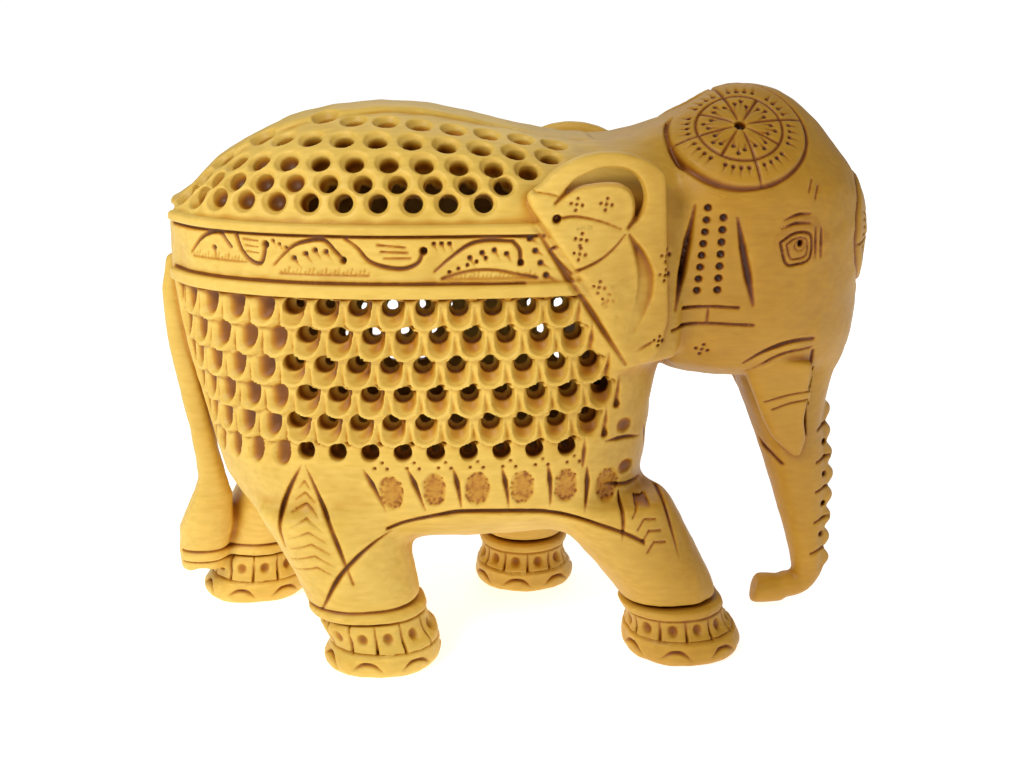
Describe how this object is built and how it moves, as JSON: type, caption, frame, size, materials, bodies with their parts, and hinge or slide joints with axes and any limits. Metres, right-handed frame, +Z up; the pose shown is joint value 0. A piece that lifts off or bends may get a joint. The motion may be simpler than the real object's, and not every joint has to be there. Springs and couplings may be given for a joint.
{
  "type": "carved wooden elephant figurine",
  "caption": "Walking elephant figurine carved in pale wood, with a hollow pierced body, carved bands, wheel medallions, bangled feet and a curled trunk.",
  "frame": {"origin": "on the floor, under the middle of the figurine's length and width", "axes": "+X towards the head, +Y towards the elephant's left side, +Z up"},
  "size_m": [0.13, 0.0556, 0.1016],
  "materials": {
    "wood": "satin",
    "rubbed_wood": "satin",
    "stained_wood": "satin"
  },
  "bodies": {
    "root": {"spine_ridge": "rubbed_wood", "back_lattice_right": "wood", "back_lattice_left": "wood", "upper_rail_right": "rubbed_wood", "upper_rail_left": "rubbed_wood", "frieze_right": "wood", "frieze_left": "wood", "lower_rail_right": "rubbed_wood", "lower_rail_left": "rubbed_wood", "flank_lattice_right": "wood", "flank_lattice_left": "wood", "hem_right": "wood", "hem_left": "wood", "belly": "wood", "chest": "wood", "neck": "wood", "head": "wood", "temple_medallion_right": "rubbed_wood", "temple_medallion_left": "rubbed_wood", "forehead_medallion": "rubbed_wood", "trunk_shield": "rubbed_wood", "ear_right": "wood", "ear_left": "wood", "eye_right": "stained_wood", "eye_left": "stained_wood", "cheek_pendant_right": "rubbed_wood", "cheek_pendant_left": "rubbed_wood", "tusk_right": "rubbed_wood", "tusk_left": "rubbed_wood", "trunk": "wood", "trunk_ridge": "rubbed_wood", "trunk_tip": "wood", "tail": "rubbed_wood", "tail_tuft": "wood", "leg_front_right": "wood", "leg_front_left": "wood", "leg_rear_right": "wood", "leg_rear_left": "wood", "anklet_front_right": "rubbed_wood", "anklet_front_left": "rubbed_wood", "anklet_rear_right": "rubbed_wood", "anklet_rear_left": "rubbed_wood", "foot_front_right": "wood", "foot_front_left": "wood", "foot_rear_right": "wood", "foot_rear_left": "wood"}
  },
  "joints": []
}
